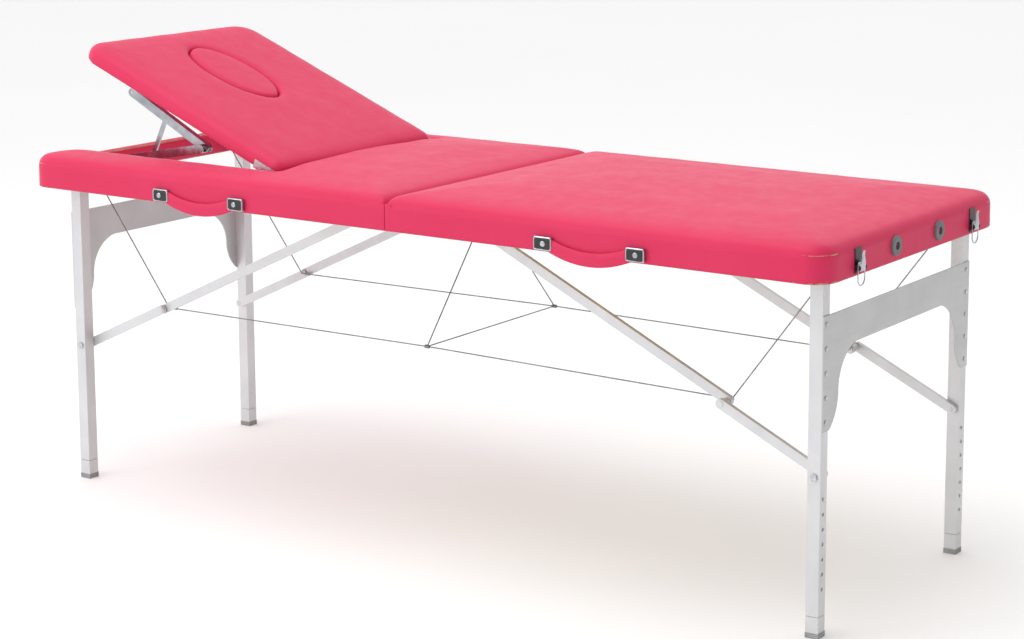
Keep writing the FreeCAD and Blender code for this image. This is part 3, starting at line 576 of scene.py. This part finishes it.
# ---- legs and braces -------------------------------------------------------------------
# Square aluminium tube legs with sliding lower tubes, and flat-sided aluminium braces.
# They are satin anodised: nearly white in soft light, with faint lines drawn along them.
def satin_aluminium():
    """Pale anodised aluminium with lines drawn along it."""
    material, nodes, links, shader = blank_material("satin_aluminium")
    cloud, _ = speckle(nodes, links, (1, 1, 1), 14.0)
    links.new(two_tone(nodes, links, cloud, (0.62, 0.62, 0.635), (0.68, 0.68, 0.695)),
              shader.inputs["Base Color"])
    drawn, _ = speckle(nodes, links, (900, 900, 12), 1.0, 2.0)
    links.new(between(nodes, links, drawn, 0.36, 0.50), shader.inputs["Roughness"])
    links.new(relief(nodes, links, drawn, 0.00008, 0.35), shader.inputs["Normal"])
    shader.inputs["Metallic"].default_value = 0.55
    return material


legs_finish = satin_aluminium()
for half in ("head", "foot"):
    finish_parts(legs_finish, half + "_leg_tubes", half + "_upper_struts", half + "_lower_struts",
                 half + "_front_leg_extension", half + "_rear_leg_extension")


# ---- cross panels between the legs -----------------------------------------------------
# A folded aluminium sheet riveted between each pair of legs keeps them square. The
# sheet is brushed crosswise and anodised a little darker than the legs.
def brushed_panel():
    """Anodised sheet, brushed across."""
    material, nodes, links, shader = blank_material("brushed_panel")
    cloud, _ = speckle(nodes, links, (1, 1, 1), 9.0)
    links.new(two_tone(nodes, links, cloud, (0.50, 0.50, 0.505), (0.57, 0.57, 0.575)),
              shader.inputs["Base Color"])
    brushed, _ = speckle(nodes, links, (900, 10, 900), 1.0, 3.0)
    links.new(between(nodes, links, brushed, 0.34, 0.52), shader.inputs["Roughness"])
    links.new(relief(nodes, links, brushed, 0.0001, 0.4), shader.inputs["Normal"])
    shader.inputs["Metallic"].default_value = 0.7
    return material


finish_parts(brushed_panel(), "head_leg_panel", "foot_leg_panel")


# ---- rubber feet -----------------------------------------------------------------------
# A grey moulded rubber cup is pushed on the bottom of each sliding tube.
# The rubber is matt, with a faint moulding grain and dust in its hollows.
def moulded_rubber():
    """Grey rubber, matt and a little dusty."""
    material, nodes, links, shader = blank_material("moulded_rubber")
    dust, _ = speckle(nodes, links, (1, 1, 1), 60.0)
    links.new(two_tone(nodes, links, dust, (0.26, 0.26, 0.26), (0.36, 0.36, 0.36)),
              shader.inputs["Base Color"])
    grain, _ = speckle(nodes, links, (1, 1, 1), 900.0)
    links.new(between(nodes, links, grain, 0.62, 0.82), shader.inputs["Roughness"])
    links.new(relief(nodes, links, grain, 0.0002, 0.4), shader.inputs["Normal"])
    return material


finish_parts(moulded_rubber(), "head_front_rubber_foot", "head_rear_rubber_foot",
             "foot_front_rubber_foot", "foot_rear_rubber_foot")


# ---- zinc-plated fittings --------------------------------------------------------------
# Hinge leaves, brackets, pins, rivets and bolts are pressed or turned steel. Their zinc
# plating has the soft spangle and slight blue cast that plating leaves.
def zinc_plate():
    """Zinc plating with its spangle."""
    material, nodes, links, shader = blank_material("zinc_plate")
    spangle = nodes.new("ShaderNodeTexVoronoi")
    _, place = speckle(nodes, links, (1, 1, 1), 1.0)
    spangle.inputs["Scale"].default_value = 180.0
    links.new(place, spangle.inputs["Vector"])
    links.new(two_tone(nodes, links, spangle.outputs["Distance"],
                       (0.44, 0.45, 0.47), (0.62, 0.63, 0.65), 0.1, 0.8),
              shader.inputs["Base Color"])
    haze, _ = speckle(nodes, links, (1, 1, 1), 120.0)
    links.new(between(nodes, links, haze, 0.26, 0.46), shader.inputs["Roughness"])
    links.new(relief(nodes, links, haze, 0.00012, 0.3), shader.inputs["Normal"])
    shader.inputs["Metallic"].default_value = 1.0
    return material


finish_parts(zinc_plate(), "head_hinge_brackets", "foot_hinge_brackets",
             "head_pivot_pins", "foot_pivot_pins",
             "centre_hinge_head_leaves", "centre_hinge_foot_leaves", "centre_hinge_pins",
             "head_leg_fasteners", "foot_leg_fasteners", "backrest_fixed_plates",
             "backrest_underside_fittings", "head_front_snap_button", "head_rear_snap_button",
             "foot_front_snap_button", "foot_rear_snap_button")


# ---- chromed lifter and latch keepers --------------------------------------------------
# The backrest's folding lifter and the keepers that the case latches hook over are
# bright nickel-chromed steel, polished but with fine rub marks.
def bright_chrome():
    """Polished chrome with fine rub marks."""
    material, nodes, links, shader = blank_material("bright_chrome")
    cloud, _ = speckle(nodes, links, (1, 1, 1), 40.0)
    links.new(two_tone(nodes, links, cloud, (0.34, 0.36, 0.39), (0.54, 0.56, 0.60)),
              shader.inputs["Base Color"])
    rub, _ = speckle(nodes, links, (300, 300, 40), 1.0)
    links.new(between(nodes, links, rub, 0.10, 0.24), shader.inputs["Roughness"])
    links.new(relief(nodes, links, rub, 0.00006, 0.25), shader.inputs["Normal"])
    shader.inputs["Metallic"].default_value = 1.0
    return material


chrome = bright_chrome()
finish_parts(chrome, "lifter_base_brackets", "lifter_lower_arms", "lifter_upper_arms",
             "lifter_ratchet_links", "latch_keepers")


# ---- strap caps ------------------------------------------------------------------------
# Each strap end is held by a small cap: a black moulded plate set in a bright chromed
# frame, with one domed screw through it, the strap and the rail.
cap_centres = (0.363, 0.559)
cap_half = (0.0195, 0.0125)
cap_middle_z = 0.656
cap_faces = (-0.350, -0.3593)
screw_offset = 0.002


def black_moulding_and_painted_shade():
    """Black plastic with a slight gloss; on the latch bases the same black is painted shade."""
    material, nodes, links, shader = blank_material("black_moulding_and_painted_shade")
    cloud, _ = speckle(nodes, links, (1, 1, 1), 45.0)
    links.new(two_tone(nodes, links, cloud, (0.010, 0.010, 0.011), (0.022, 0.022, 0.023)),
              shader.inputs["Base Color"])
    grain, _ = speckle(nodes, links, (1, 1, 1), 1300.0)
    links.new(between(nodes, links, grain, 0.24, 0.38), shader.inputs["Roughness"])
    links.new(relief(nodes, links, grain, 0.0001, 0.3), shader.inputs["Normal"])
    return material


black_plastic_and_painted_shade = black_moulding_and_painted_shade()


def join_rings(bm, before, ring, finish_number=0):
    """The wall between two rings of the same number of points."""
    for k in range(len(ring)):
        bm.faces.new((before[k - 1], before[k], ring[k], ring[k - 1])).material_index = finish_number


def stepped_plate(bm, x, z, levels, corner, finish_number):
    """A small plate with rounded corners, drawn through levels of (y, half width, half height)."""
    before = None
    for y, wide, tall in levels:
        ring = []
        round_off = min(corner, wide, tall)
        for cx, cz, start in ((1, 1, 0), (-1, 1, 90), (-1, -1, 180), (1, -1, 270)):
            for step in range(5):
                angle = math.radians(start + 22.5 * step)
                ring.append(bm.verts.new((x + cx * (wide - round_off) + round_off * math.cos(angle), y,
                                          z + cz * (tall - round_off) + round_off * math.sin(angle))))
        if before:
            join_rings(bm, before, ring, finish_number)
        before = ring
    bm.faces.new(before).material_index = finish_number


def strap_caps(name, side, body, node):
    """Both caps of one strap, each as a frame, the plate set in it and the head of its screw."""
    wide, tall = cap_half
    back, front = cap_faces
    chromed, plastic = 0, 1
    frame_levels = ((back, wide, tall), (front + 0.0012, wide, tall),
                    (front + 0.0002, wide - 0.0009, tall - 0.0009),
                    (front, wide - 0.0020, tall - 0.0020),
                    (front + 0.0012, wide - 0.0030, tall - 0.0030))
    plate_levels = ((front + 0.0016, wide - 0.0028, tall - 0.0028),
                    (front + 0.0004, wide - 0.0032, tall - 0.0032),
                    (front + 0.0002, wide - 0.0045, tall - 0.0045))
    screw_levels = ((front + 0.0006, 0.0056, 0.0056), (front - 0.0008, 0.0052, 0.0052),
                    (front - 0.0014, 0.0036, 0.0036), (front - 0.0016, 0.0014, 0.0014))
    bm = bmesh.new()
    for x in cap_centres:
        stepped_plate(bm, side * x, cap_middle_z, frame_levels, 0.0035, chromed)
        stepped_plate(bm, side * x, cap_middle_z, plate_levels, 0.0025, plastic)
        stepped_plate(bm, side * (x + screw_offset), cap_middle_z, screw_levels, 0.006, chromed)
    bmesh.ops.recalc_face_normals(bm, faces=list(bm.faces))
    caps = piece_from(bm, name)
    caps.data.materials.append(chrome)
    caps.data.materials.append(black_plastic_and_painted_shade)
    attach(caps, body)
    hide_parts(node)


strap_caps("head_strap_caps", -1, "head_half", "head_handle_caps")
strap_caps("foot_strap_caps", 1, "foot_half", "foot_handle_caps")


# ---- latch levers and loops ------------------------------------------------------------
# Each toggle latch has a pressed lever that narrows to a finger tab, and a bent wire
# loop with a round end that hooks over the keeper when the case is shut.
latch_y = 0.231
latch_pin_x = 0.9375
loop_pivot_z = 0.664
lever_line = ((0.9404, 0.6490, 0.0099), (0.9416, 0.6530, 0.0099), (0.9420, 0.6590, 0.0098),
              (0.9419, 0.6650, 0.0088), (0.9415, 0.6715, 0.0068), (0.9414, 0.6770, 0.0056),
              (0.9420, 0.6815, 0.0050), (0.9429, 0.6845, 0.0046), (0.9434, 0.6856, 0.0036))
cheek_line = ((latch_pin_x - 0.0034, 0.6520), (latch_pin_x - 0.0040, 0.6560),
              (latch_pin_x - 0.0036, 0.6620), (latch_pin_x - 0.0010, 0.6676))
cheek_out = 0.0098
lever_camber = 0.0011
lever_plate = 0.0013
loop_wire = 0.0011
loop_half_width = 0.0125
loop_foot = 0.0082
loop_bend = 0.002
loop_bottom_z = 0.6235


def latch_lever(name, y_middle, body, node):
    """A cambered tapering plate with two cheeks that turn in to the hinge pin."""
    bm = bmesh.new()
    across = 9
    rows = []
    for x, z, wide in lever_line:
        row = []
        for k in range(across):
            share = 2 * k / (across - 1) - 1
            row.append(bm.verts.new((x - lever_camber * share ** 4, y_middle + wide * share, z)))
        rows.append(row)
    for a, b in zip(rows, rows[1:]):
        for k in range(1, across):
            bm.faces.new((a[k - 1], b[k - 1], b[k], a[k]))
    for side in (0, across - 1):
        hand = 1 if side else -1
        cheek = [bm.verts.new((x, y_middle + hand * cheek_out, z)) for x, z in cheek_line]
        for k in range(len(cheek_line) - 1):
            corners = (rows[k][side], rows[k + 1][side], cheek[k + 1], cheek[k])
            bm.faces.new(corners if side else tuple(reversed(corners)))
    bmesh.ops.recalc_face_normals(bm, faces=list(bm.faces))
    lever = piece_from(bm, name)
    plate = lever.modifiers.new("plate", "SOLIDIFY")
    plate.thickness = lever_plate
    plate.offset = 0
    rounder = lever.modifiers.new("rounder", "SUBSURF")
    rounder.levels = rounder.render_levels = 2
    settle(lever)
    lever.data.shade_smooth()
    lever.data.materials.append(chrome)
    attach(lever, body)
    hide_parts(node)


def rod_through(bm, rings):
    """A closed rod drawn through the rings."""
    bm.faces.new(list(reversed(rings[0])))
    for before, ring in zip(rings, rings[1:]):
        join_rings(bm, before, ring)
    bm.faces.new(rings[-1])


def wire_loop(name, y_middle, body, node):
    """One bent wire: two feet on the lever's pivot line, two straight legs and a round end."""
    outward = Vector((1, 0, 0))
    spine = [Vector((latch_pin_x, y_middle - loop_foot, loop_pivot_z)),
             Vector((latch_pin_x, y_middle - loop_half_width + loop_bend, loop_pivot_z)),
             Vector((latch_pin_x, y_middle - loop_half_width, loop_pivot_z - loop_bend))]
    for step in range(13):
        angle = math.pi * step / 12
        spine.append(Vector((latch_pin_x, y_middle - loop_half_width * math.cos(angle),
                             loop_bottom_z + loop_half_width * (1 - math.sin(angle)))))
    spine += [Vector((latch_pin_x, 2 * y_middle - spot.y, spot.z)) for spot in reversed(spine[:3])]
    bm = bmesh.new()
    rings = []
    for i, spot in enumerate(spine):
        run = (spine[min(i + 1, len(spine) - 1)] - spine[max(i - 1, 0)]).normalized()
        across = run.cross(outward)
        turns = [math.pi * k / 5 for k in range(10)]
        rings.append([bm.verts.new(spot + loop_wire * (math.cos(turn) * outward + math.sin(turn) * across))
                      for turn in turns])
    rod_through(bm, rings)
    bmesh.ops.recalc_face_normals(bm, faces=list(bm.faces))
    loop = piece_from(bm, name)
    loop.data.shade_smooth()
    loop.data.materials.append(chrome)
    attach(loop, body)
    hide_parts(node)


for side, row in ((-1, "front"), (1, "rear")):
    latch_lever(row + "_latch_lever", side * latch_y, "latch_lever_" + row + "_piece", "latch_lever_" + row)
    wire_loop(row + "_latch_wire", side * latch_y, "latch_loop_" + row + "_piece", "latch_loop_" + row)
# The latch bases get the black moulding as painted shade: a black finish put where the shade under each lever
# falls.
finish_parts(black_plastic_and_painted_shade, "latch_bases")


# ---- headrest sockets ------------------------------------------------------------------
# Two grey moulded ferrules line the holes in the foot end that take a headrest's
# stalks. They are tough plastic with a fine spark-eroded texture.
def grey_moulding():
    """Blue-grey plastic with a fine texture."""
    material, nodes, links, shader = blank_material("grey_moulding")
    cloud, _ = speckle(nodes, links, (1, 1, 1), 30.0)
    links.new(two_tone(nodes, links, cloud, (0.120, 0.132, 0.142), (0.160, 0.172, 0.182)),
              shader.inputs["Base Color"])
    grain, _ = speckle(nodes, links, (1, 1, 1), 1400.0)
    links.new(between(nodes, links, grain, 0.36, 0.52), shader.inputs["Roughness"])
    links.new(relief(nodes, links, grain, 0.00012, 0.4), shader.inputs["Normal"])
    return material


finish_parts(grey_moulding(), "headrest_sockets")


# ---- carrying straps -------------------------------------------------------------------
# One padded strap on the front of each half makes the case's handle. It is a band of
# the same leather folded round a thin core, and it hangs a little between its caps.
strap_centre_x = 0.461
strap_half_length = 0.104
strap_top = 0.668
strap_width = 0.026
strap_thickness = 0.007
strap_hang = 0.019
stitch_line = 0.0098
stitch_depth = 0.0007
stitch_width = 0.0009


def carrying_strap(name, side, body, node):
    """A soft band with rounded edges, drawn from cap to cap, slightly fuller in its middle."""
    bm = bmesh.new()
    steps, around = 56, 20
    rings = []
    for i in range(steps + 1):
        along = 2 * i / steps - 1
        hang = strap_hang * max(0.0, 1 - (along / 0.86) ** 2)
        swell = 1 + 0.18 * max(0.0, 1 - (along / 0.8) ** 4)
        ring = []
        for k in range(around):
            angle = 2 * math.pi * k / around
            across = math.copysign(abs(math.cos(angle)) ** 0.45, math.cos(angle)) * strap_width / 2
            through = math.copysign(abs(math.sin(angle)) ** 0.7, math.sin(angle)) * strap_thickness / 2
            through *= swell
            groove = stitch_depth * math.exp(-((abs(across) - stitch_line) / stitch_width) ** 2)
            through -= math.copysign(groove, through)
            ring.append(bm.verts.new((side * strap_centre_x + along * strap_half_length,
                                      -half_width - strap_thickness / 2 * swell - 0.0002 + through,
                                      strap_top - strap_width / 2 - hang + across)))
        rings.append(ring)
    rod_through(bm, rings)
    bmesh.ops.recalc_face_normals(bm, faces=list(bm.faces))
    band = piece_from(bm, name)
    soften = band.modifiers.new("soften", "SUBSURF")
    soften.levels = soften.render_levels = 1
    settle(band)
    band.data.shade_smooth()
    band.data.materials.append(leather)
    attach(band, body)
    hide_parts(node)
    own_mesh(band)


carrying_strap("head_carrying_strap", -1, "head_half", "head_handle_strap")
carrying_strap("foot_carrying_strap", 1, "foot_half", "foot_handle_strap")


# ---- tension cables --------------------------------------------------------------------
# Thin steel ropes tie the braces' knuckles to the table's middle and to the leg hinges,
# and pull straight as the legs open. Each is six strands laid round a core, clamped
# where it meets another; they fall slack into the case as the table folds.
rope_radius = 0.00125
rope_lay = 0.034
rope_points = 18
rope_step = 0.0035
knuckle = (0.68065, 0.38612)
leg_hinge = (0.885, 0.656)
meeting_x = -0.004
meeting_y = 0.218
meeting_z = 0.392
foot_rope_y = 0.2232
head_rope_y = 0.2125


def steel_rope():
    """Dull steel wire, darker where oil has stayed."""
    material, nodes, links, shader = blank_material("steel_rope")
    oil, _ = speckle(nodes, links, (1, 1, 1), 55.0)
    links.new(two_tone(nodes, links, oil, (0.18, 0.18, 0.19), (0.34, 0.34, 0.35)),
              shader.inputs["Base Color"])
    wires, _ = speckle(nodes, links, (1, 1, 1), 2200.0)
    links.new(between(nodes, links, wires, 0.32, 0.50), shader.inputs["Roughness"])
    links.new(relief(nodes, links, wires, 0.0001, 0.4), shader.inputs["Normal"])
    shader.inputs["Metallic"].default_value = 0.9
    return material


def lay_rope(bm, start, end):
    """Six strands laid round a core between two points."""
    start, end = Vector(start), Vector(end)
    turn = (end - start).to_track_quat("Z", "Y").to_matrix()
    length = (end - start).length
    count = max(2, int(length / rope_step))
    rings = []
    for i in range(count + 1):
        twist = 2 * math.pi * (length * i / count) / rope_lay
        ring = []
        for k in range(rope_points):
            angle = 2 * math.pi * k / rope_points
            radius = rope_radius * (0.90 + 0.14 * math.cos(6 * angle))
            spot = Vector((radius * math.cos(angle + twist), radius * math.sin(angle + twist),
                           length * i / count))
            ring.append(bm.verts.new(start + turn @ spot))
        rings.append(ring)
    rod_through(bm, rings)


def clamp(bm, middle, direction, length, radius):
    """A pressed sleeve with rounded ends round the rope."""
    turn = Vector(direction).to_track_quat("Z", "Y").to_matrix()
    angles = [math.pi * k / 8 for k in range(16)]
    rings = []
    for along, width in ((-0.5, 0.55), (-0.44, 0.85), (-0.34, 1.0), (0.34, 1.0), (0.44, 0.85), (0.5, 0.55)):
        around = [Vector((radius * width * math.cos(angle), radius * width * math.sin(angle), along * length))
                  for angle in angles]
        rings.append([bm.verts.new(Vector(middle) + turn @ spot) for spot in around])
    rod_through(bm, rings)


rope_finish = steel_rope()


def rope_set(name, body, node, runs, clamps):
    """All the ropes of one half, with their clamps."""
    bm = bmesh.new()
    for start, end in runs:
        lay_rope(bm, start, end)
    for middle, direction, length, radius in clamps:
        clamp(bm, middle, direction, length, radius)
    ropes = piece_from(bm, name)
    ropes.data.shade_smooth()
    ropes.data.materials.append(rope_finish)
    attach(ropes, body)
    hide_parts(node)
    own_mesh(ropes)


head_runs = []
foot_runs = []
head_clamps = []
foot_clamps = []
for side in (-1, 1):
    meeting = (meeting_x, side * meeting_y, meeting_z)
    head_knuckle = (-knuckle[0], side * head_rope_y, knuckle[1])
    foot_knuckle = (knuckle[0], side * foot_rope_y, knuckle[1])
    head_runs += [(meeting, head_knuckle),
                  (head_knuckle, (-leg_hinge[0], side * head_rope_y, leg_hinge[1])),
                  (meeting, (-0.012, side * 0.004, 0.6387))]
    foot_runs += [((0.0005, side * meeting_y, meeting_z), foot_knuckle),
                  (foot_knuckle, (leg_hinge[0], side * foot_rope_y, leg_hinge[1]))]
    head_clamps += [(meeting, (1, 0, 0), 0.012, 0.0036),
                    ((head_knuckle[0] + 0.016, head_knuckle[1], head_knuckle[2] + 0.0003),
                     (1, 0, 0.01), 0.014, 0.0028)]
    foot_clamps += [((foot_knuckle[0] - 0.016, foot_knuckle[1], foot_knuckle[2] + 0.0003),
                     (1, 0, -0.01), 0.014, 0.0028)]
head_runs.append(((meeting_x, -meeting_y, meeting_z), (meeting_x, meeting_y, meeting_z)))
rope_set("head_tension_cables", "head_half", "head_cables", head_runs, head_clamps)
rope_set("foot_tension_cables", "foot_half", "foot_cables", foot_runs, foot_clamps)


# ---- floor, light and camera -----------------------------------------------------------
# A plain pale studio: a matt floor that runs out of sight, a large soft light overhead,
# one from the front by the head end, and pale air that darkens towards the foot end.
floor_mesh = bpy.data.meshes.new("studio_floor")
far = 40
floor_mesh.from_pydata([(-far, -far, 0), (far, -far, 0), (far, far, 0), (-far, far, 0)], [], [(0, 1, 2, 3)])
floor = bpy.data.objects.new("studio_floor", floor_mesh)
bpy.context.scene.collection.objects.link(floor)
floor_paint, nodes, links, shader = blank_material("floor_paint")
cloud, _ = speckle(nodes, links, (1, 1, 1), 0.8)
links.new(two_tone(nodes, links, cloud, (0.90, 0.90, 0.90), (0.92, 0.92, 0.92)), shader.inputs["Base Color"])
links.new(between(nodes, links, cloud, 0.80, 0.90), shader.inputs["Roughness"])
shader.inputs["Emission Color"].default_value = (1, 1, 1, 1)
shader.inputs["Emission Strength"].default_value = 0.10
floor.data.materials.append(floor_paint)


def soft_light(name, place, aim, size, power):
    """A round soft light, turned towards the spot it is aimed at."""
    lamp = bpy.data.lights.new(name, "AREA")
    lamp.shape = "DISK"
    lamp.size = size
    lamp.energy = power
    light = bpy.data.objects.new(name, lamp)
    light.location = place
    light.rotation_mode = "QUATERNION"
    light.rotation_quaternion = (Vector(aim) - Vector(place)).to_track_quat("-Z", "Y")
    bpy.context.scene.collection.objects.link(light)


soft_light("overhead_light", (-0.4, -0.8, 3.8), aim=(0, 0, 0.6), size=3.4, power=50)
soft_light("front_light", (-2.6, -4.0, 1.7), aim=(0, 0, 0.45), size=2.4, power=24)
air_at_head, air_at_foot = 1.09, 0.34
studio = bpy.data.worlds.new("studio_air")
studio.use_nodes = True
air_nodes, air_links = studio.node_tree.nodes, studio.node_tree.links
direction = air_nodes.new("ShaderNodeTexCoord")
parts = air_nodes.new("ShaderNodeSeparateXYZ")
air_links.new(direction.outputs["Generated"], parts.inputs["Vector"])
air_links.new(between(air_nodes, air_links, parts.outputs["X"], air_at_head, air_at_foot, -0.05, 0.90),
              air_nodes["Background"].inputs["Strength"])
air_nodes["Background"].inputs["Color"].default_value = (1, 1, 1, 1)
bpy.context.scene.world = studio
bpy.context.scene.view_settings.view_transform = "Standard"

camera_data = bpy.data.cameras.new("studio_camera")
camera_data.sensor_width = 36
camera_data.lens = 85.7
camera_data.shift_x = -0.1199
camera_data.shift_y = -0.1258
camera_data.clip_end = 200
camera = bpy.data.objects.new("studio_camera", camera_data)
camera.location = (2.7978, -3.8841, 1.4809)
camera.rotation_euler = (math.pi / 2 - 0.1685, -0.0031, 0.5662)
bpy.context.scene.collection.objects.link(camera)
bpy.context.scene.camera = camera

bpy.context.view_layer.update()
